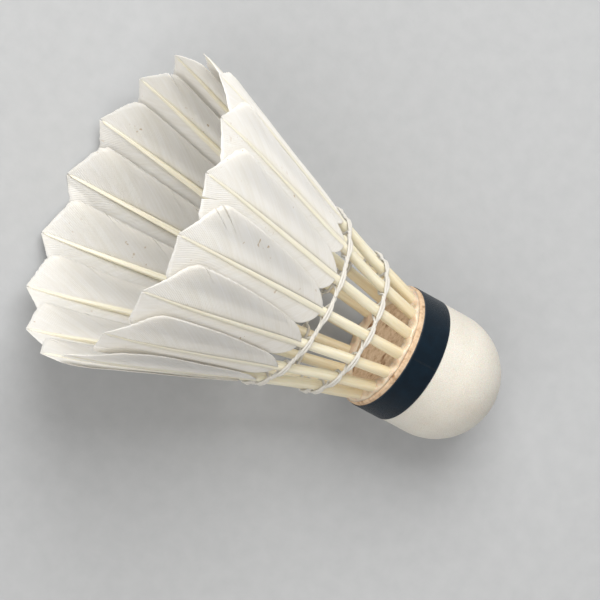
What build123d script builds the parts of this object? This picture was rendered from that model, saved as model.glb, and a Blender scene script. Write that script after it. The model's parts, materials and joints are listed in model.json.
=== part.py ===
from build123d import *
import os
from math import atan, cos, degrees, radians, sin, tan

# Feather shuttlecock, lying on its side: the cork and two neighbouring feather corners touch the floor.
#
# It is drawn upright first. There the axis is Z, z = 0 is the top face of the cork, the feathers rise
# towards +Z and the rounded nose points down. The last section lays it down, cork towards +X.

# ---- Driving dimensions, in mm and degrees ----------------------------------------------------------

FEATHER_COUNT = 16
PITCH = 360 / FEATHER_COUNT             # angle from one feather to the next

# Cork: a cylinder with a hemispherical nose
CORK_RADIUS = 13.0                      # outside of the leather
NOSE_CENTRE = -13.7                     # height of the hemisphere's centre
LEATHER_THICKNESS = 0.5
LEATHER_TOP = -3.0                      # the leather ends here, under the band
CORK_TOP_CHAMFER = 0.3
BAND_TOP = -1.0
BAND_WIDTH = 6.25
BAND_THICKNESS = 0.15

# Glue that fills the corner between the quills and the cork
GLUE_INNER_RADIUS = 9.4
GLUE_HEIGHT = 1.5
GLUE_LEAN = 0.45                        # how far its sides draw in towards the top

# Feathers: the back of each quill follows a straight line that leaves the axis at FLARE, as far as the
# upper thread. From there it bows outward.
BACK_RADIUS = 12.3                      # from the axis to the back of a quill, at the cork's top face
FLARE = degrees(atan(0.307))
QUILL_SECTIONS = (                      # distance along the line, and width, depth and bow there
    (-8.5, 1.8, 1.8, 0.0),              # end inside the cork
    (0.0, 2.4, 2.3, 0.0),               # cork face
    (10.5, 2.1, 2.1, 0.0),              # lower thread
    (23.0, 1.9, 1.9, 0.0),              # upper thread
    (42.0, 1.2, 1.4, 0.9),
    (58.0, 0.8, 0.9, 1.7),
    (66.0, 0.5, 0.55, 1.5),             # end, just short of the vane's tip
)

# Vane: a thin shell curved like the skirt, and twisted about its quill so that each one lies over the next
VANE_TWIST = 5.0
VANE_THICKNESS = 0.3
VANE_DEPTH = 0.45                       # from the back of the quill to the vane's inner face
VANE_ROOT = 24.6                        # distances along the quill
VANE_TIP = 66.9
OUTER_CORNER_RADIUS = 5.0
INNER_CORNER_RADIUS = 3.0
# Edge of each web: a short arc away from the quill, then a long one to the corner. Each pair is the
# distance along the quill and the distance from it.
OUTER_WEB = ((25.9, 2.0), (29.0, 4.0), (42.0, 7.1), (60.6, 9.4))
INNER_WEB = ((25.5, 2.5), (28.3, 4.4), (45.0, 7.0), (63.4, 8.9))

# Binding threads: one strand runs outside the quills and one inside, and they meet in each gap
THREAD_HEIGHTS = {"thread_lower": 10.0, "thread_upper": 22.0}
STRAND_RADIUS = 0.3
STRAND_BEND = 1.5                       # radius of the strand's bends
STRAND_ROOM = 0.33                      # from the quill to the corner that each bend rounds off

# ---- Cork ------------------------------------------------------------------------------------------


def turned(*outline):
    """Solid of revolution about Z, from lines and arcs that close an outline in the XZ plane."""
    return revolve(Plane.XZ * make_face(Curve() + list(outline)), Axis.Z)


def quarter(radius):
    """Arc in the XZ plane, from the nose's widest point down to its lowest one."""
    middle = radius * sin(radians(45))
    return ThreePointArc((radius, NOSE_CENTRE), (middle, NOSE_CENTRE - middle), (0, NOSE_CENTRE - radius))


def make_cork():
    """Undrilled cork body, the cork nose under it, their leather cover and the band."""
    core = CORK_RADIUS - LEATHER_THICKNESS
    body = turned(
        Polyline(
            (0, NOSE_CENTRE),
            (core, NOSE_CENTRE),
            (core, LEATHER_TOP),
            (CORK_RADIUS, LEATHER_TOP),
            (CORK_RADIUS, -CORK_TOP_CHAMFER),
            (CORK_RADIUS - CORK_TOP_CHAMFER, 0),
            (0, 0),
            close=True,
        )
    )
    nose = turned(
        quarter(core),
        Polyline((0, NOSE_CENTRE - core), (0, NOSE_CENTRE), (core, NOSE_CENTRE)),
    )
    leather = turned(
        quarter(CORK_RADIUS),
        Line((0, NOSE_CENTRE - CORK_RADIUS), (0, NOSE_CENTRE - core)),
        quarter(core),
        Polyline(
            (core, NOSE_CENTRE),
            (core, LEATHER_TOP),
            (CORK_RADIUS, LEATHER_TOP),
            (CORK_RADIUS, NOSE_CENTRE),
        ),
    )
    band_base = Pos(0, 0, BAND_TOP - BAND_WIDTH)
    align = (Align.CENTER, Align.CENTER, Align.MIN)
    band = band_base * (
        Cylinder(CORK_RADIUS + BAND_THICKNESS, BAND_WIDTH, align=align)
        - Cylinder(CORK_RADIUS, BAND_WIDTH, align=align)
    )
    return body, nose, leather, band


def make_glue():
    """Ring of glue round the feet of the quills, before the quills are cut out of it."""
    return turned(
        Polyline(
            (GLUE_INNER_RADIUS, 0),
            (CORK_RADIUS - CORK_TOP_CHAMFER, 0),
            (CORK_RADIUS - GLUE_LEAN, GLUE_HEIGHT),
            (GLUE_INNER_RADIUS + GLUE_LEAN, GLUE_HEIGHT),
            close=True,
        )
    )


# ---- Feathers --------------------------------------------------------------------------------------

ALONG = Vector(sin(radians(FLARE)), 0, cos(radians(FLARE)))      # up the quill
OUTWARD = Vector(cos(radians(FLARE)), 0, -sin(radians(FLARE)))   # square to it, away from the axis
BACK_START = Vector(BACK_RADIUS, 0, 0)


def make_quill():
    """Quill of the feather on the +X side, tapering from its foot in the cork to its tip."""
    sections = []
    for distance, width, depth, bow in QUILL_SECTIONS:
        plane = Plane(BACK_START + ALONG * distance + OUTWARD * bow, x_dir=OUTWARD, z_dir=ALONG)
        sections.append(plane * Pos(-depth / 2, 0) * Ellipse(depth / 2, width / 2))
    return loft(sections, ruled=True)


def web_edge(points, side):
    """Edge of one web, from the root to its corner. Side is -1 for the outer web and +1 for the inner."""
    bulge, shoulder, middle, corner = [(along, side * across) for along, across in points]
    return [ThreePointArc((VANE_ROOT, 0), bulge, shoulder), ThreePointArc(shoulder, middle, corner)]


def vane_shell():
    """Thin shell that follows the backs of all the quills, twisted about the quill on the +X side."""
    backs = [(distance, bow) for distance, *_, bow in QUILL_SECTIONS if distance > 0]
    inner = [BACK_START + ALONG * distance + OUTWARD * (bow - VANE_DEPTH) for distance, bow in backs]
    inner.append(inner[-1] + (inner[-1] - inner[-2]) * 0.5)
    outer = [point + OUTWARD * VANE_THICKNESS for point in reversed(inner)]
    shell = turned(Polyline(*[(point.X, point.Z) for point in inner + outer], close=True))
    return shell.rotate(Axis(BACK_START - OUTWARD * VANE_DEPTH, ALONG), -VANE_TWIST)


def make_vane(quill):
    """Vane of the same feather, in one piece that the quill slits from its root almost to its tip."""
    edges = web_edge(OUTER_WEB, -1) + web_edge(INNER_WEB, 1)
    tips = [Line(edges[1] @ 1, (VANE_TIP, 0)), Line((VANE_TIP, 0), edges[3] @ 1)]
    outline = make_face(Curve() + edges + tips)
    for corner, radius in ((edges[1] @ 1, OUTER_CORNER_RADIUS), (edges[3] @ 1, INNER_CORNER_RADIUS)):
        outline = fillet(outline.vertices().sort_by_distance(corner)[0], radius)
    plane = Plane(BACK_START - OUTWARD * CORK_RADIUS, x_dir=ALONG, z_dir=OUTWARD)
    return (plane * extrude(outline, 2 * CORK_RADIUS) & vane_shell()) - quill


# ---- Binding threads -------------------------------------------------------------------------------


def quill_depth(distance):
    """Depth of the quill at a distance along it."""
    for (start, _, first, _), (end, _, last, _) in zip(QUILL_SECTIONS, QUILL_SECTIONS[1:]):
        if start <= distance <= end:
            return first + (last - first) * (distance - start) / (end - start)


def make_thread(height):
    """Two closed strands at one height, one outside the upright ring of quills and one inside it."""
    lean = radians(FLARE)
    half_depth = quill_depth(height / cos(lean)) / 2 / cos(lean)
    centre = BACK_RADIUS + height * tan(lean) - half_depth
    strands = []
    for side in (1, -1):
        at_quill = centre + side * (half_depth + STRAND_RADIUS + STRAND_ROOM)
        in_gap = centre + side * STRAND_RADIUS
        corners = []
        for index in range(FEATHER_COUNT):
            corners.append(Vector(at_quill, 0, height).rotate(Axis.Z, index * PITCH))
            corners.append(Vector(in_gap, 0, height).rotate(Axis.Z, (index + 0.5) * PITCH))
        path = FilletPolyline(*corners, radius=STRAND_BEND, close=True)
        profile = Plane(path @ 0, z_dir=path % 0) * Circle(STRAND_RADIUS)
        strands.append(sweep(profile, path))
    return Compound(strands)


# ---- Assembly, upright -----------------------------------------------------------------------------


def make_upright(roll):
    """All pieces by node name. Roll turns the ring of feathers about the axis."""
    quill = make_quill()
    vane = make_vane(quill)
    quills, vanes = {}, {}
    for index in range(FEATHER_COUNT):
        turn = Rot(0, 0, roll + index * PITCH)
        quills[f"feather_{index + 1:02}_quill"] = turn * quill
        vanes[f"feather_{index + 1:02}_vane"] = turn * vane
    body, nose, leather, band = make_cork()
    cork = {
        "cork_body": body - list(quills.values()),
        "cork_nose": nose,
        "leather_cover": leather,
        "band": band,
        "quill_glue": make_glue() - list(quills.values()),
    }
    threads = {name: Rot(0, 0, roll) * make_thread(height) for name, height in THREAD_HEIGHTS.items()}
    return quills | vanes | cork | threads


# ---- Lying pose ------------------------------------------------------------------------------------


def solve(function, low, high):
    """Value at which a rising function passes through zero, found by halving the interval."""
    for _ in range(40):
        middle = (low + high) / 2
        low, high = (low, middle) if function(middle) > 0 else (middle, high)
    return middle


def lowest(points, turn, tilt):
    """Lowest point's height above the nose's centre, for the feather at an angle from the top."""
    turned_points = [point.rotate(Axis.Z, turn) for point in points]
    lean = radians(tilt)
    return min(point.X * cos(lean) + (point.Z - NOSE_CENTRE) * sin(lean) for point in turned_points)


def lying_angles():
    """Roll and tilt at which the nose and two neighbouring feather corners touch one plane."""
    edges = make_vane(make_quill()).edges()
    points = [edge @ (step / 24) for edge in edges for step in range(25)]
    before, after = 180 - 1.7 * PITCH, 180 - 0.5 * PITCH         # bounds of the first one's angle from the top
    roll, tilt = 0, 15
    for _ in range(3):
        roll = solve(lambda turn: lowest(points, turn + PITCH, tilt) - lowest(points, turn, tilt), before, after)
        tilt = solve(lambda lean: lowest(points, roll, lean) + CORK_RADIUS, 5, 30)
    return roll % PITCH, tilt


roll, tilt = lying_angles()
lying = {name: Rot(0, tilt - 90, 0) * piece for name, piece in make_upright(roll).items()}
box = Compound(list(lying.values())).bounding_box()
to_floor = Pos(-box.center().X, -box.center().Y, -box.min.Z)

os.makedirs("parts", exist_ok=True)
for name, piece in lying.items():
    export_step(to_floor * piece, f"parts/{name}.step")
print(f"roll {roll:.3f}, tilt {tilt:.3f}, box {box.size}, axis origin {to_floor * Pos(0, 0, 0)}")
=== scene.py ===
import bmesh
import bpy
import json
import random
from math import atan, cos, exp, pi, radians, sin, sqrt, tan
from mathutils import Matrix, Vector, noise


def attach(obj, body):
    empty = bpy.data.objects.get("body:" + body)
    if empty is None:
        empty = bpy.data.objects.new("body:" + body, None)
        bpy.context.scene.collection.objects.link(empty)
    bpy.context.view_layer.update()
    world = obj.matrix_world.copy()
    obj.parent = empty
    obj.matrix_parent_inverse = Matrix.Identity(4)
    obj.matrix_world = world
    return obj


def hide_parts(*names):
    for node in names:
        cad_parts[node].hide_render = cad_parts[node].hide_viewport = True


# Feather shuttlecock lying on its side. Pieces are drawn upright in millimetres, as the CAD does: Z is the
# shuttlecock's axis, z = 0 is the cork's top face and the feathers rise towards +Z. LYING lays them down.

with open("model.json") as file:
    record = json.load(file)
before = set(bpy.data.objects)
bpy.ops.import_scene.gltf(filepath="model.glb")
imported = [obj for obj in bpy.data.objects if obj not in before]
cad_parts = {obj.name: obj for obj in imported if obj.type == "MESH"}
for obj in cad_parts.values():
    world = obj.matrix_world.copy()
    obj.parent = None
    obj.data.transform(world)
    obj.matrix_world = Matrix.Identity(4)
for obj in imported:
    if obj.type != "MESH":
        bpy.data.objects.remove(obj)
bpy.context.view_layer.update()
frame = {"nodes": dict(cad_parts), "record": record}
mounts = {mount["name"]: mount for mount in frame["record"]["mounts"]}

# ---- Sizes shared with the CAD, in mm and degrees ---------------------------------------------------

FEATHER_COUNT = 16
PITCH = 360 / FEATHER_COUNT
ROLL = 19.201                           # angle of the first feather from the top
CORK_RADIUS = 13.0
NOSE_CENTRE = -13.7                     # height of the round nose's centre
LEATHER_THICKNESS = 0.5
LEATHER_TOP = -3
BAND_TOP = -1.0
BAND_BOTTOM = -7.25
BAND_THICKNESS = 0.15
BACK_RADIUS = 12.3                      # from the axis to the back of a quill, at the cork's top face
FLARE = atan(0.307)                     # between a quill and the axis, in radians
# Distance along the quill, and width and depth there
QUILL_SECTIONS = (
    (-8.5, 1.8, 1.8),
    (0, 2.4, 2.3),
    (10.5, 2.1, 2.1),
    (23, 1.9, 1.9),
    (42, 1.25, 1.4),
    (66.4, 0.5, 0.5),
)
# Distance along the quill, and how far its back has bowed outward there
QUILL_BOW = (
    (23, 0.0),
    (28, 0.12),
    (35, 0.55),
    (42, 0.97),
    (50, 1.4),
    (58, 1.68),
    (63, 1.62),
    (66.9, 1.5),
)
VANE_ROOT = 24.6                        # distance along the quill
FEATHER_TIP = 66                        # distance along the quill
VANE_TWIST = 5.0
THREAD_HEIGHTS = {"thread_lower": 10.0, "thread_upper": 22.0}

# ---- The shuttlecock's own frame --------------------------------------------------------------------

MM = 0.001                              # in metres
AXIS = Vector(mounts["nesting_mouth"]["axis"]).normalized()
SIDE = Vector((0, 1, 0))
ABOVE = SIDE.cross(AXIS)
GRIP_HEIGHT = (BAND_TOP + BAND_BOTTOM) / 2
CORK_FACE = Vector(mounts["cork_grip"]["pos_m"]) - AXIS * GRIP_HEIGHT * MM
LYING = (
    Matrix.Translation(CORK_FACE)
    @ Matrix((ABOVE, SIDE, AXIS)).transposed().to_4x4()
    @ Matrix.Scale(MM, 4)
)


def turned(angle):
    """Matrix that turns an upright piece about the shuttlecock's axis."""
    return Matrix.Rotation(radians(angle), 4, "Z")


def between(value, rows):
    """Straight-line interpolation in (place, value, ...) rows, giving the values at a place."""
    if value <= rows[0][0]:
        return rows[0][1:]
    for low, high in zip(rows, rows[1:]):
        if value <= high[0]:
            share = (value - low[0]) / (high[0] - low[0])
            return tuple(a + (b - a) * share for a, b in zip(low[1:], high[1:]))
    return rows[-1][1:]


def smooth_step(value, low, high):
    """0 up to low, 1 from high on, and an S-curve between them."""
    share = min(max((value - low) / (high - low), 0), 1)
    return share * share * (3 - 2 * share)


def bell(value, centre, width):
    """Bell curve that is 1 at its centre."""
    return exp(-(((value - centre) / width) ** 2))


# ---- Node materials ---------------------------------------------------------------------------------

BLACK = (0, 0, 0)
WHITE = (1, 1, 1)
ONE_BAND_A_UNIT = pi / 10               # scale at which the wave texture has one band for each unit


class Shader:
    """A node material round one Principled shader."""

    def __init__(self, name, **sockets):
        self.material = bpy.data.materials.new(name)
        self.material.use_nodes = True
        self.tree = self.material.node_tree
        self.surface = self.tree.nodes["Principled BSDF"]
        for socket, value in sockets.items():
            self.surface.inputs[socket.replace("_", " ")].default_value = value

    def add(self, kind, settings=None, **inputs):
        """New node. Inputs are numbers, colours or other nodes' sockets, by the input's name."""
        node = self.tree.nodes.new("ShaderNode" + kind)
        for key, value in (settings or {}).items():
            setattr(node, key, value)
        for key, value in inputs.items():
            self.plug(node.inputs[key], value)
        return node

    def plug(self, socket, value):
        """Links another node's socket to this one, or sets this one to a number."""
        if isinstance(value, bpy.types.NodeSocket):
            self.tree.links.new(value, socket)
        else:
            socket.default_value = value

    def scaled(self, vector, x, y, z):
        return self.add("Mapping", Vector=vector, Scale=(x, y, z)).outputs[0]

    def noise(self, vector, scale, detail=3, rough=0.55):
        made = self.add("TexNoise", Vector=vector, Scale=scale, Detail=detail, Roughness=rough)
        return made.outputs["Fac"]

    def bands(self, vector, scale, distortion=0.0):
        """Wavy bands that follow one another along the vector's X."""
        settings = {"bands_direction": "X"}
        made = self.add("TexWave", settings, Vector=vector, Scale=scale, Distortion=distortion)
        return made.outputs["Fac"]

    def ramp(self, fac, *stops):
        """Colour ramp of (place, colour) stops."""
        node = self.add("ValToRGB", Fac=fac)
        elements = node.color_ramp.elements
        while len(elements) < len(stops):
            elements.new(0.5)
        for element, (place, colour) in zip(elements, stops):
            element.position = place
            element.color = (*colour, 1)
        return node.outputs["Color"]

    def mix(self, fac, first, second, blend="MIX"):
        node = self.add("MixRGB", {"blend_type": blend}, Fac=fac)
        for socket, colour in zip(node.inputs[1:], (first, second)):
            self.plug(socket, colour if isinstance(colour, bpy.types.NodeSocket) else (*colour, 1))
        return node.outputs[0]

    def multiply(self, first, second):
        """Product of two colours."""
        return self.mix(1.0, first, second, "MULTIPLY")

    def math(self, operation, first, second=0.0):
        node = self.add("Math", {"operation": operation})
        self.plug(node.inputs[0], first)
        self.plug(node.inputs[1], second)
        return node.outputs[0]

    def bump(self, height, distance):
        made = self.add("Bump", Height=height, Distance=distance)
        self.tree.links.new(made.outputs[0], self.surface.inputs["Normal"])

    def colour(self, socket):
        self.tree.links.new(socket, self.surface.inputs["Base Color"])

    def roughness(self, fac, low, high):
        made = self.add("MapRange", Value=fac)
        made.inputs["To Min"].default_value = low
        made.inputs["To Max"].default_value = high
        self.tree.links.new(made.outputs[0], self.surface.inputs["Roughness"])

    def place(self):
        """Places on the piece, in metres."""
        return self.add("TexCoord").outputs["Object"]

    def chart(self):
        """The piece's own UV chart, which each mesh below describes."""
        return self.add("UVMap", {"uv_map": "chart"}).outputs[0]

    def chart_y(self, chart):
        return self.add("SeparateXYZ", Vector=chart).outputs["Y"]


def vane_material():
    """White feather web. The chart runs along the quill in barbs, and out along each barb from 0 to 1."""
    shader = Shader("feather_web", Subsurface_Weight=0.5, Subsurface_Scale=0.002, Sheen_Weight=0.1)
    shader.surface.inputs["Subsurface Radius"].default_value = (1.0, 0.9, 0.75)
    chart, place = shader.chart(), shader.place()

    barbs = shader.noise(shader.scaled(chart, 0.55, 1.2, 1), 1.0, 2)
    clumps = shader.noise(shader.scaled(chart, 0.06, 0.7, 1), 1.0, 4)
    tone = shader.ramp(barbs, (0.3, (0.88, 0.845, 0.775)), (0.7, (0.935, 0.91, 0.86)))
    broad = shader.ramp(clumps, (0.35, (0.94, 0.93, 0.90)), (0.65, WHITE))
    near_quill = shader.ramp(shader.chart_y(chart), (0.0, (0.93, 0.90, 0.81)), (0.16, WHITE))
    web = shader.multiply(shader.multiply(tone, broad), near_quill)

    specks = shader.ramp(shader.noise(place, 900, 1), (0.70, BLACK), (0.76, WHITE))
    speckled_areas = shader.ramp(shader.noise(place, 160, 2), (0.55, BLACK), (0.66, WHITE))
    rusty = shader.math("MULTIPLY", specks, speckled_areas)
    shader.colour(shader.mix(rusty, web, (0.56, 0.43, 0.28)))

    ridges = shader.bands(chart, ONE_BAND_A_UNIT)
    fine = shader.noise(shader.scaled(chart, 3.0, 60, 1), 1.0, 2)
    shader.bump(shader.math("ADD", ridges, shader.math("MULTIPLY", fine, 0.6)), 0.00004)
    shader.roughness(barbs, 0.55, 0.75)
    return shader.material


def stem_material():
    """Ivory quill. The chart runs round the stem from 0 to 1 and along it in millimetres."""
    shader = Shader(
        "feather_stem",
        Subsurface_Weight=0.2,
        Subsurface_Scale=0.002,
        Coat_Weight=0.25,
        Coat_Roughness=0.3,
    )
    shader.surface.inputs["Subsurface Radius"].default_value = (1.0, 0.8, 0.5)
    chart = shader.chart()
    streaks = shader.noise(shader.scaled(chart, 14, 0.12, 1), 1.0, 4)
    ivory = shader.ramp(
        streaks,
        (0.3, (0.79, 0.73, 0.57)),
        (0.55, (0.88, 0.84, 0.70)),
        (0.8, (0.91, 0.885, 0.79)),
    )
    along = shader.math("DIVIDE", shader.chart_y(chart), FEATHER_TIP)
    foot = shader.ramp(along, (0.0, (0.93, 0.83, 0.66)), (0.2, (0.98, 0.96, 0.9)), (0.45, WHITE))
    shader.colour(shader.multiply(ivory, foot))
    shader.bump(streaks, 0.00006)
    shader.roughness(streaks, 0.28, 0.5)
    return shader.material


def thread_material():
    """Twisted off-white thread. The chart runs round the strand from 0 to 1 and along it in millimetres."""
    shader = Shader("binding_thread", Sheen_Weight=0.3, Coat_Weight=0.15, Coat_Roughness=0.35)
    chart, place = shader.chart(), shader.place()
    slant = (0, 0, radians(38))
    slanted = shader.add("Mapping", Vector=chart, Rotation=slant, Scale=(2.0, 1.6, 1)).outputs[0]
    plies = shader.bands(slanted, 1.1, 0.6)
    soil = shader.noise(place, 700, 3)
    # Darker in the grooves between the plies: painted shade.
    colour = shader.ramp(
        plies,
        (0.0, (0.70, 0.66, 0.58)),
        (0.5, (0.88, 0.86, 0.81)),
        (1.0, (0.92, 0.91, 0.88)),
    )
    shader.colour(shader.mix(shader.math("MULTIPLY", soil, 0.2), colour, (0.72, 0.64, 0.50)))
    shader.bump(plies, 0.00008)
    shader.roughness(soil, 0.5, 0.8)
    return shader.material


def leather_material():
    """Thin white leather with a fine grain, slightly soiled in patches."""
    shader = Shader(
        "white_leather",
        Subsurface_Weight=0.06,
        Subsurface_Scale=0.001,
        Coat_Weight=0.08,
        Coat_Roughness=0.4,
    )
    place = shader.place()
    cells = shader.add("TexVoronoi", {"feature": "DISTANCE_TO_EDGE"}, Vector=place, Scale=2600)
    grain = cells.outputs["Distance"]
    pores = shader.noise(place, 1500, 4)
    patches = shader.noise(place, 110, 4)
    colour = shader.ramp(
        patches,
        (0.3, (0.69, 0.65, 0.58)),
        (0.55, (0.74, 0.71, 0.645)),
        (0.8, (0.77, 0.745, 0.69)),
    )
    # Darker along the creases of the grain: painted shade.
    painted_crease_shade = shader.ramp(grain, (0.0, (0.86, 0.84, 0.79)), (0.08, WHITE))
    shader.colour(shader.multiply(colour, painted_crease_shade))
    relief = shader.ramp(grain, (0.0, BLACK), (0.25, WHITE))
    shader.bump(shader.math("ADD", relief, pores), 0.00003)
    shader.roughness(pores, 0.42, 0.62)
    return shader.material


def cork_material():
    """Bare natural cork: tan cells, darker lenticels and pores."""
    shader = Shader("natural_cork")
    place = shader.place()
    cells = shader.noise(place, 900, 5, 0.7)
    lumps = shader.add("TexVoronoi", Vector=place, Scale=420).outputs["Distance"]
    colour = shader.ramp(
        cells,
        (0.3, (0.42, 0.26, 0.15)),
        (0.5, (0.64, 0.46, 0.30)),
        (0.72, (0.75, 0.58, 0.41)),
    )
    pits = shader.ramp(shader.noise(place, 330, 2), (0.60, WHITE), (0.70, (0.45, 0.32, 0.22)))
    shader.colour(shader.multiply(colour, pits))
    shader.bump(shader.math("ADD", cells, lumps), 0.0001)
    shader.roughness(cells, 0.7, 0.9)
    return shader.material


def glue_material():
    """Hard glue over cork: clear tan with paler clouds and a gloss."""
    shader = Shader(
        "hard_glue",
        Coat_Weight=0.6,
        Coat_Roughness=0.12,
        Subsurface_Weight=0.15,
        Subsurface_Scale=0.002,
    )
    clouds = shader.noise(shader.place(), 420, 4)
    colour = shader.ramp(
        clouds,
        (0.3, (0.60, 0.42, 0.27)),
        (0.55, (0.74, 0.58, 0.42)),
        (0.8, (0.85, 0.76, 0.63)),
    )
    shader.colour(colour)
    shader.bump(clouds, 0.00012)
    shader.roughness(clouds, 0.2, 0.45)
    return shader.material


def band_material():
    """Dark navy ribbon with a fine weave under a satin face, and a painted highlight along its edges. The
    chart is in mm.
    """
    shader = Shader("navy_ribbon", Coat_Weight=0.05, Coat_Roughness=0.25, Specular_IOR_Level=0.22)
    chart, place = shader.chart(), shader.place()
    weave = shader.bands(chart, 1.5)
    cloth = shader.noise(place, 500, 4)
    navy = shader.ramp(cloth, (0.3, (0.0004, 0.006, 0.013)), (0.7, (0.0008, 0.010, 0.021)))
    from_middle = shader.math("ABSOLUTE", shader.math("SUBTRACT", shader.chart_y(chart), GRIP_HEIGHT))
    at_edge = shader.ramp(shader.math("DIVIDE", from_middle, 3.2), (0.9, BLACK), (0.99, WHITE))
    # Paler grey along both edges of the ribbon: painted highlight.
    painted_edge_highlight = shader.math("MULTIPLY", at_edge, shader.noise(place, 900, 2))
    shader.colour(shader.mix(painted_edge_highlight, navy, (0.10, 0.12, 0.15)))
    shader.bump(shader.math("ADD", weave, cloth), 0.00002)
    shader.roughness(cloth, 0.28, 0.42)
    return shader.material


def floor_material():
    """Plain pale card."""
    shader = Shader("pale_card", Roughness=0.85)
    fibres = shader.noise(shader.place(), 300, 4)
    shader.colour(shader.ramp(fibres, (0.3, (0.42, 0.432, 0.448)), (0.7, (0.445, 0.457, 0.473))))
    shader.bump(fibres, 0.00004)
    return shader.material


# ---- Making pieces ----------------------------------------------------------------------------------

FLOOR_CLEARANCE = 0.0001                # in metres; feather corners that touch the floor bend along it


def make_piece(name, points, faces, charts, material, node, turn=0):
    """Mesh piece from upright points in mm, riding on the body and standing for one CAD node."""
    mesh = bpy.data.meshes.new(name)
    mesh.from_pydata([tuple(point) for point in points], [], faces)
    layer = mesh.uv_layers.new(name="chart")
    for loop in mesh.loops:
        layer.data[loop.index].uv = charts[loop.vertex_index]
    mesh.transform(LYING @ turned(turn))
    for vertex in mesh.vertices:
        vertex.co.z = max(vertex.co.z, FLOOR_CLEARANCE)
    mesh.shade_smooth()
    mesh.materials.append(material)
    mesh.update()
    piece = bpy.data.objects.new(name, mesh)
    bpy.context.collection.objects.link(piece)
    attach(piece, "root")
    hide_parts(node)
    return piece


def grid_faces(rows, columns, closed_rows=False, closed_columns=False, start=0):
    """Quads over a grid of points stored row by row."""
    faces = []
    for row in range(rows if closed_rows else rows - 1):
        for column in range(columns if closed_columns else columns - 1):
            next_row, next_column = (row + 1) % rows, (column + 1) % columns
            faces.append(
                (
                    start + row * columns + column,
                    start + row * columns + next_column,
                    start + next_row * columns + next_column,
                    start + next_row * columns + column,
                )
            )
    return faces


# ---- Feathers ---------------------------------------------------------------------------------------

ALONG = Vector((sin(FLARE), 0, cos(FLARE)))      # up the quill of the feather on the +X side
OUTWARD = Vector((cos(FLARE), 0, -sin(FLARE)))   # square to it, away from the axis
ACROSS = Vector((0, 1, 0))
FOOT = Vector((BACK_RADIUS, 0, 0))
WAIST = 0.28                            # how far the threads draw the quills inward
WAIST_PLACE = 12.5                      # distance along the quill at which they do it most
WAIST_WIDTH = 6

# Edges of the two webs: distance along the quill and distance from it. The outer web lies over the next vane.
OUTER_WEB = (
    (24.6, 0.3),
    (25.9, 2.0),
    (29.0, 4.0),
    (35, 5.7),
    (42, 7.1),
    (50, 8.4),
    (57.7, 9.2),
    (60.3, 8.7),
    (62.2, 7.0),
    (66.8, 0.15),
)
INNER_WEB = (
    (24.6, 0.3),
    (25.5, 2.5),
    (28.3, 4.4),
    (36, 6.0),
    (45, 7.0),
    (54, 8.0),
    (61.2, 8.7),
    (63.0, 8.3),
    (64.2, 6.9),
    (66.8, 0.15),
)
OUTLINE_SAMPLES = 400
CURVE_STEPS = 40                        # points of a smooth line from one given point to the next
BARB_COUNT = 128
BARB_STEPS = 12                         # points along a barb
BEND_ALONG = 0.42                       # where a barb bends, as a share of the way from its foot to its end
BEND_ACROSS = 0.58
RIDGE_HEIGHT = 0.035
WEB_THICKNESS = 0.14
WEB_DEPTH = 0.28                        # from the back of the quill to the web's outer face
RIPPLE = 0.2
PRESS = 1.22                            # how much more than the skirt the outer webs curve, to lie on the next
CURL_START = 46                         # from here to CURL_END the outer web's edge lifts again
CURL_END = 64
SPLIT_REACH = 7                         # barbs on each side that a split pushes aside
MERGE_DISTANCE = 0.004


class Feather:
    """Small natural differences of one feather, and where its quill and webs run."""

    def __init__(self, index):
        self.random = random.Random(100 + index)
        self.sway = self.random.uniform(-0.22, 0.22)
        self.lean = self.random.uniform(-0.12, 0.12)
        self.twist = VANE_TWIST + self.random.uniform(-0.8, 0.8)
        self.curl = self.random.uniform(0.2, 0.7)
        self.trim = self.random.uniform(-0.9, 0.0)
        self.ripple_seed = self.random.uniform(0, 50)
        self.turn = ROLL + index * PITCH

    def back(self, along):
        """Point on the back of the quill."""
        side = self.sway * sin(pi * along / FEATHER_TIP) + self.lean * smooth_step(along, 20, FEATHER_TIP)
        bow = between(along, QUILL_BOW)[0] - WAIST * bell(along, WAIST_PLACE, WAIST_WIDTH)
        return FOOT + ALONG * along + ACROSS * side + OUTWARD * bow

    def web_point(self, along, across, raised):
        """Point of the webs, which curve round the skirt. Across is positive on the outer web."""
        angle = radians(self.twist)
        sideways = OUTWARD * sin(angle) + ACROSS * cos(angle)
        outward = OUTWARD * cos(angle) - ACROSS * sin(angle)
        skirt_radius = BACK_RADIUS / cos(FLARE) + along * tan(FLARE)
        camber = skirt_radius - sqrt(skirt_radius**2 - across**2)
        if across > 0:
            camber *= PRESS - self.curl * smooth_step(along, CURL_START, CURL_END)
        ripple = RIPPLE * noise.noise(Vector((along * 0.09, across * 0.16, self.ripple_seed)))
        ripple *= smooth_step(abs(across), 0.5, 5)
        return self.back(along) + sideways * across + outward * (raised - camber + ripple - WEB_DEPTH)


def smooth_line(points):
    """Points on a Catmull-Rom curve through the given ones."""
    line = []
    padded = [points[0], *points, points[-1]]
    for controls in zip(padded, padded[1:], padded[2:], padded[3:]):
        for step in range(CURVE_STEPS):
            t = step / CURVE_STEPS
            weights = (
                (-t + 2 * t**2 - t**3) / 2,
                (2 - 5 * t**2 + 3 * t**3) / 2,
                (t + 4 * t**2 - 3 * t**3) / 2,
                (-(t**2) + t**3) / 2,
            )
            line.append(Vector([sum(w * p[i] for w, p in zip(weights, controls)) for i in (0, 1)]))
    line.append(Vector(points[-1]))
    return line


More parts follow.
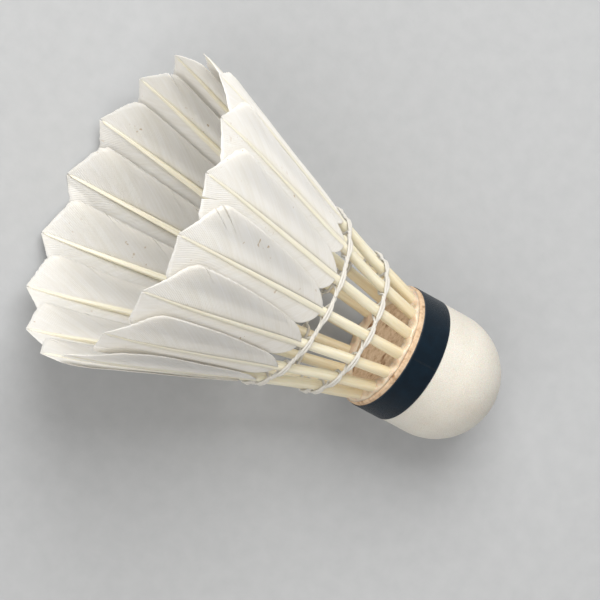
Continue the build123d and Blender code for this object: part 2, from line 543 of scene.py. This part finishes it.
def even_outline(points):
    """Evenly spaced points on a smooth line through the given ones."""
    line = smooth_line(points)
    lengths = [0.0]
    for first, second in zip(line, line[1:]):
        lengths.append(lengths[-1] + (second - first).length)
    even, index = [], 0
    for sample in range(OUTLINE_SAMPLES + 1):
        target = lengths[-1] * sample / OUTLINE_SAMPLES
        while index < len(lengths) - 2 and lengths[index + 1] < target:
            index += 1
        span = lengths[index + 1] - lengths[index] or 1
        even.append(line[index].lerp(line[index + 1], (target - lengths[index]) / span))
    return even


OUTLINES = {1: even_outline(OUTER_WEB), -1: even_outline(INNER_WEB)}


def barb_foot(share):
    """Distance along the quill at which the barb leaves it, for the barb that ends at a share of the edge."""
    return VANE_ROOT + (FEATHER_TIP - VANE_ROOT) * (0.75 * share**1.3 + 0.25 * share**8)


def half_quill(along):
    return between(along, QUILL_SECTIONS)[0] / 2


def barb_point(feather, side, share, out, raised):
    """Point at a share out along one barb, in the upright frame."""
    share = min(max(share, 0), 1)
    outline = OUTLINES[side]
    place = share * (len(outline) - 1)
    index = min(int(place), len(outline) - 2)
    end = outline[index].lerp(outline[index + 1], place - index)
    foot = barb_foot(share)
    start = Vector((foot, half_quill(foot) * 0.55))
    end = Vector((end.x + feather.trim * smooth_step(end.x, 55, FEATHER_TIP), max(end.y, start.y)))
    bend_along = start.x + BEND_ALONG * (end.x - start.x)
    bend_across = start.y + BEND_ACROSS * (end.y - start.y)
    bend = Vector((bend_along, bend_across))
    point = start * (1 - out) ** 2 + bend * 2 * out * (1 - out) + end * out * out
    return feather.web_point(point.x, side * point.y, raised)


def make_web(feather, side):
    """Points, faces and charts of one web: barbs side by side, parted where the web has split."""
    rng = feather.random
    split_count = rng.choice((1, 2, 2, 3))
    splits = sorted(rng.sample(range(18, BARB_COUNT - 10), split_count))
    edges = [0, *splits, BARB_COUNT]
    points, faces, charts = [], [], []
    for first, last in zip(edges, edges[1:]):
        opening = {
            first: rng.uniform(0.35, 1.1) if first else 0,
            last: rng.uniform(0.3, 0.9) if last < BARB_COUNT else 0,
        }
        depth = {first: rng.uniform(0.45, 0.8), last: rng.uniform(0.45, 0.8)}
        rows = 2 * (last - first) + 1
        start = len(points)
        for row in range(rows):
            barb = first + row / 2
            ridge = row % 2
            reach = 1 - 0.035 * abs(noise.noise(Vector((barb * 0.23, side * 7, feather.ripple_seed))))
            reach -= 0.012 * (1 - ridge)
            for step in range(BARB_STEPS + 1):
                out = reach * step / BARB_STEPS
                pull = 0.0
                for edge, sign in ((first, 1), (last, -1)):
                    closeness = max(0, 1 - abs(barb - edge) / SPLIT_REACH)
                    pull += sign * opening[edge] * closeness * smooth_step(out, depth[edge], 1)
                share = (barb + pull) / BARB_COUNT
                raised = RIDGE_HEIGHT * ridge * smooth_step(out, 0, 0.1)
                points.append(barb_point(feather, side, share, out, raised))
                charts.append((barb, out))
        patch = grid_faces(rows, BARB_STEPS + 1, start=start)
        faces += patch if side < 0 else [face[::-1] for face in patch]
    return points, faces, charts


def merge_points(piece):
    """Joins the points that neighbouring barbs share, so that only the open splits stay parted."""
    work = bmesh.new()
    work.from_mesh(piece.data)
    bmesh.ops.remove_doubles(work, verts=work.verts, dist=MERGE_DISTANCE * MM)
    work.to_mesh(piece.data)
    work.free()


def make_vane(feather, number, material):
    """Both webs of one feather, as a thin shell."""
    points, faces, charts = [], [], []
    for side in (1, -1):
        web_points, web_faces, web_charts = make_web(feather, side)
        faces += [tuple(index + len(points) for index in face) for face in web_faces]
        points += web_points
        charts += web_charts
    name, node = f"feather_{number}_webs", f"feather_{number}_vane"
    piece = make_piece(name, points, faces, charts, material, node, feather.turn)
    merge_points(piece)
    shell = piece.modifiers.new("thickness", "SOLIDIFY")
    shell.thickness = WEB_THICKNESS * MM
    shell.offset = -1
    return piece


STEM_SIDES = 20
STEM_RINGS = 84
STEM_END_SHRINK = 0.05
RACHIS_START = 22                       # the round quill turns into a squarer rachis from here to RACHIS_END
RACHIS_END = 32
SQUARENESS = 0.9
GROOVE = 0.34                           # as a share of half the depth


def signed_power(value, power):
    return abs(value) ** power * (1 if value > 0 else -1)


def make_stem(feather, number, material):
    """Round quill that turns into a squarer rachis, with a groove along its inner side."""
    first, last = QUILL_SECTIONS[0][0], QUILL_SECTIONS[-1][0]
    points, charts = [], []
    for ring in range(STEM_RINGS + 1):
        along = first + (last - first) * ring / STEM_RINGS
        width, depth = between(along, QUILL_SECTIONS)
        rachis = smooth_step(along, RACHIS_START, RACHIS_END)
        power = 2 / (2 + SQUARENESS * rachis)
        trimmed = along + feather.trim * smooth_step(along, 40, FEATHER_TIP)
        centre = feather.back(trimmed) - OUTWARD * (depth / 2)
        shrink = STEM_END_SHRINK if ring in (0, STEM_RINGS) else 1
        for side in range(STEM_SIDES):
            angle = 2 * pi * side / STEM_SIDES
            deep = signed_power(cos(angle), power)
            wide = signed_power(sin(angle), power)
            groove = GROOVE * rachis * bell(wide, 0, 0.35) if cos(angle) < 0 else 0
            reach = OUTWARD * (deep + groove) * depth / 2 + ACROSS * wide * width / 2
            points.append(centre + reach * shrink)
            charts.append((side / STEM_SIDES, along))
    faces = [face[::-1] for face in grid_faces(STEM_RINGS + 1, STEM_SIDES, closed_columns=True)]
    faces.append(tuple(range(STEM_SIDES)))
    faces.append(tuple(reversed(range(STEM_RINGS * STEM_SIDES, (STEM_RINGS + 1) * STEM_SIDES))))
    name, node = f"feather_{number}_stem", f"feather_{number}_quill"
    return make_piece(name, points, faces, charts, material, node, feather.turn)


# ---- Binding threads --------------------------------------------------------------------------------

STRAND_RADIUS = 0.27
TWIST_RADIUS = 0.17
STRAND_SIDES = 10
PITCH_STEPS = 52                        # points of a strand from one quill to the next
GAP_CENTRE = 0.8                        # how far out the twist runs in a gap, in half depths of a quill
WAVE = 0.10                             # how far a thread rises and falls round the skirt
# Each strand's side of the quills (1 outside, -1 inside), its shift along the axis there, and its angle in
# the twist
STRANDS = ((1, 0.27, 45), (1, -0.27, -45), (-1, 0.0, 180))


def tube(path, radius, sides, start):
    """Points, faces and charts of a closed tube along a path round the axis."""
    points, charts = [], []
    travelled = 0.0
    for index, place in enumerate(path):
        following = path[(index + 1) % len(path)]
        heading = (following - path[index - 1]).normalized()
        normal = (Vector((0, 0, 1)) - heading * heading.z).normalized()
        other = heading.cross(normal)
        for side in range(sides):
            angle = 2 * pi * side / sides
            points.append(place + (normal * cos(angle) + other * sin(angle)) * radius)
            charts.append((side / sides, travelled))
        travelled += (following - place).length
    return points, grid_faces(len(path), sides, closed_rows=True, closed_columns=True, start=start), charts


def strand_path(feathers, height, outside, shift, place_in_twist):
    """Route of one strand: over or under each quill, then twisted with the others across the gap."""
    path = []
    along = height / cos(FLARE)
    width, depth = between(along, QUILL_SECTIONS)
    half_depth = depth / 2 / cos(FLARE)
    for feather in feathers:
        centre = feather.back(along) - OUTWARD * (depth / 2)
        half_gap = centre.x * tan(radians(PITCH / 2))
        for step in range(PITCH_STEPS):
            angle = radians(PITCH) * (step / PITCH_STEPS - 0.5)
            across = abs(centre.x * tan(angle))
            gap = smooth_step(across, width * 0.3, min(width * 0.5 + 1.6, half_gap))
            round_quill = 1 - gap
            progress = (step / PITCH_STEPS + 0.5) % 1
            twist = radians(place_in_twist) + 2 * pi * smooth_step(progress, 0.18, 0.82)
            raised = outside * (half_depth + STRAND_RADIUS) * round_quill
            raised += (GAP_CENTRE * half_depth + TWIST_RADIUS * cos(twist)) * gap
            lifted = shift * round_quill + TWIST_RADIUS * sin(twist) * gap
            lifted += WAVE * sin(3 * radians(feather.turn))
            spot = Vector((centre.x + raised, centre.y, height + lifted))
            path.append(turned(feather.turn) @ (Matrix.Rotation(angle, 4, "Z") @ spot))
    return path


def make_thread(name, height, feathers, material):
    """The strands of one binding thread."""
    points, faces, charts = [], [], []
    for outside, shift, place_in_twist in STRANDS:
        path = strand_path(feathers, height, outside, shift, place_in_twist)
        made = tube(path, STRAND_RADIUS, STRAND_SIDES, len(points))
        points += made[0]
        faces += made[1]
        charts += made[2]
    return make_piece(f"{name}_strands", points, faces, charts, material, name)


# ---- Cork end ---------------------------------------------------------------------------------------

TURN_STEPS = 192
NOSE_STEPS = 48
POLE_RADIUS = 0.02                      # of the tiny hole left at the nose's lowest point
WALL_HEIGHTS = (NOSE_CENTRE, -12.5, -11, -9.5, -8, -7, -5, LEATHER_TOP)
BAND_GAP = 0.01                         # between the leather and the band
BAND_ROLL = 0.07                        # radius of the ribbon's rolled edges
BAND_STEPS = 8


def revolve(profile, wobble=0.0, seed=0.0):
    """Points, faces and charts of a closed profile of (radius, height) turned about the axis."""
    points, charts = [], []
    for step in range(TURN_STEPS):
        angle = 2 * pi * step / TURN_STEPS
        for radius, height in profile:
            place = Vector((radius * cos(angle), radius * sin(angle), height))
            grow = 1 + wobble * noise.noise(place * 0.35 + Vector((seed, 0, 0))) / max(radius, 4)
            points.append(Vector((place.x * grow, place.y * grow, height)))
            charts.append((radius * angle, height))
    return points, grid_faces(TURN_STEPS, len(profile), closed_rows=True, closed_columns=True), charts


def nose_arc(radius):
    """Outline of a nose, from its lowest point to just under its widest one."""
    angles = [pi / 2 * (1 - step / NOSE_STEPS) for step in range(NOSE_STEPS)]
    return [(max(radius * cos(angle), POLE_RADIUS), NOSE_CENTRE - radius * sin(angle)) for angle in angles]


def make_leather(material):
    """Leather stretched over the nose, with its edge under the band."""
    inner = CORK_RADIUS - LEATHER_THICKNESS
    profile = nose_arc(CORK_RADIUS)
    profile += [(CORK_RADIUS, height) for height in WALL_HEIGHTS]
    profile += [(inner, LEATHER_TOP), (inner, -8), (inner, NOSE_CENTRE)]
    profile += reversed(nose_arc(inner))
    points, faces, charts = revolve(profile, wobble=-0.03, seed=4)
    return make_piece("leather_skin", points, faces, charts, material, "leather_cover")


def make_band(material):
    """Ribbon round the cork with softly rolled edges."""
    inner, outer = CORK_RADIUS + BAND_GAP, CORK_RADIUS + BAND_THICKNESS
    flat_width = BAND_TOP - BAND_BOTTOM - 2 * BAND_ROLL
    corner = BAND_ROLL * 0.3
    profile = [(inner, BAND_BOTTOM), (outer - BAND_ROLL, BAND_BOTTOM), (outer - corner, BAND_BOTTOM + corner)]
    for step in range(BAND_STEPS + 1):
        profile.append((outer, BAND_BOTTOM + BAND_ROLL + flat_width * step / BAND_STEPS))
    profile += [(outer - corner, BAND_TOP - corner), (outer - BAND_ROLL, BAND_TOP), (inner, BAND_TOP)]
    points, faces, charts = revolve(profile, wobble=0.02, seed=9)
    return make_piece("navy_band", points, faces, charts, material, "band")


GLUE_INNER_RADIUS = 9.4
GLUE_OUTER_RADIUS = 12.75
GLUE_COLUMNS = 14
GLUE_ROWS = FEATHER_COUNT * 24
GLUE_HEIGHT = 0.35                      # between the quills
GLUE_CLIMB = 0.95                       # how much higher it stands at a quill
GLUE_CLIMB_WIDTH = 1.75
QUILL_RING_RADIUS = 11.3                # of the circle through the quills' centres


def make_glue(material):
    """Glue drawn up round the foot of each quill and lower between them."""
    points, charts = [], []
    for row in range(GLUE_ROWS):
        angle = 2 * pi * row / GLUE_ROWS
        from_quill = ((angle - radians(ROLL)) / radians(PITCH) + 0.5) % 1 - 0.5
        for column in range(GLUE_COLUMNS + 1):
            share = column / GLUE_COLUMNS
            radius = GLUE_INNER_RADIUS + (GLUE_OUTER_RADIUS - GLUE_INNER_RADIUS) * share
            across = from_quill * radians(PITCH) * radius
            reach = Vector((across, radius - QUILL_RING_RADIUS)).length
            height = GLUE_HEIGHT + GLUE_CLIMB * bell(reach, 0, GLUE_CLIMB_WIDTH)
            height += 0.12 * noise.noise(Vector((angle * 9, radius, 3)))
            height *= smooth_step(share, 0, 0.18) * smooth_step(1 - share, -0.05, 0.14)
            points.append(Vector((radius * cos(angle), radius * sin(angle), max(height, 0.01))))
            charts.append((radius * angle, radius))
        points.append(Vector((GLUE_INNER_RADIUS * cos(angle), GLUE_INNER_RADIUS * sin(angle), -0.02)))
        charts.append((GLUE_INNER_RADIUS * angle, GLUE_INNER_RADIUS))
    faces = grid_faces(GLUE_ROWS, GLUE_COLUMNS + 2, closed_rows=True, closed_columns=True)
    return make_piece("quill_glue_ring", points, faces, charts, material, "quill_glue")


# ---- Build ------------------------------------------------------------------------------------------

web_look, stem_look, thread_look = vane_material(), stem_material(), thread_material()
feathers = [Feather(index) for index in range(FEATHER_COUNT)]
for index, feather in enumerate(feathers):
    number = f"{index + 1:02}"
    make_vane(feather, number, web_look)
    make_stem(feather, number, stem_look)
for name, height in THREAD_HEIGHTS.items():
    make_thread(name, height, feathers, thread_look)
make_leather(leather_material())
make_band(band_material())
make_glue(glue_material())

cork_look = cork_material()
for name in ("cork_body", "cork_nose"):
    node = frame["nodes"][name]
    node.data.materials.clear()
    node.data.materials.append(cork_look)

# ---- Floor, camera and lights -----------------------------------------------------------------------

CAMERA_LEAN = radians(24)               # how far the axis comes out of the picture's plane
CAMERA_ROLL = radians(28.5)             # how far the cork end points below the picture's horizontal
CAMERA_DISTANCE = 1.1
CAMERA_AIM = 20                         # height on the axis that the camera looks at, in mm
PICTURE_WIDTH = 0.118                   # in metres, at the object
FLOOR_SIZE = 3.0

middle = CORK_FACE + AXIS * CAMERA_AIM * MM
seen_from = turned(ROLL - PITCH) @ Vector((1, 0, 0))
radial = ABOVE * seen_from.x + SIDE * seen_from.y
to_camera = radial * cos(CAMERA_LEAN) + AXIS * sin(CAMERA_LEAN)
cork_way = (-AXIS + to_camera * AXIS.dot(to_camera)).normalized()
right = cork_way * cos(CAMERA_ROLL) + to_camera.cross(cork_way) * sin(CAMERA_ROLL)
up = to_camera.cross(right)


def make_camera():
    data = bpy.data.cameras.new("camera")
    data.sensor_width = 36
    data.lens = data.sensor_width * CAMERA_DISTANCE / PICTURE_WIDTH
    camera = bpy.data.objects.new("camera", data)
    turn = Matrix((right, up, to_camera)).transposed().to_4x4()
    camera.matrix_world = Matrix.Translation(middle + to_camera * CAMERA_DISTANCE) @ turn
    bpy.context.collection.objects.link(camera)
    bpy.context.scene.camera = camera


def make_floor():
    mesh = bpy.data.meshes.new("floor")
    half = FLOOR_SIZE / 2
    corners = [(-half, -half, 0), (half, -half, 0), (half, half, 0), (-half, half, 0)]
    mesh.from_pydata(corners, [], [(0, 1, 2, 3)])
    mesh.materials.append(floor_material())
    floor = bpy.data.objects.new("floor", mesh)
    bpy.context.collection.objects.link(floor)


def make_light(name, direction, distance, size, power, colour):
    """Square soft light that shines on the middle of the object from a direction."""
    data = bpy.data.lights.new(name, "AREA")
    data.size = size
    data.energy = power
    data.color = colour
    light = bpy.data.objects.new(name, data)
    towards = direction.normalized()
    turn = towards.to_track_quat("Z", "Y").to_matrix().to_4x4()
    light.matrix_world = Matrix.Translation(middle + towards * distance) @ turn
    bpy.context.collection.objects.link(light)


def make_world(colour, strength):
    world = bpy.data.worlds.new("studio")
    world.use_nodes = True
    background = world.node_tree.nodes["Background"]
    background.inputs["Color"].default_value = (*colour, 1)
    background.inputs["Strength"].default_value = strength
    bpy.context.scene.world = world


make_camera()
make_floor()
make_light("key", up * 0.8 + to_camera + right * 0.25, 0.7, 0.6, 5.6, (1.0, 0.985, 0.955))
make_light("fill", -up * 0.5 + to_camera - right * 0.5, 0.9, 0.9, 3.4, (1.0, 0.975, 0.935))
make_world((1.0, 0.975, 0.94), 0.45)
bpy.context.scene.view_settings.view_transform = "Standard"
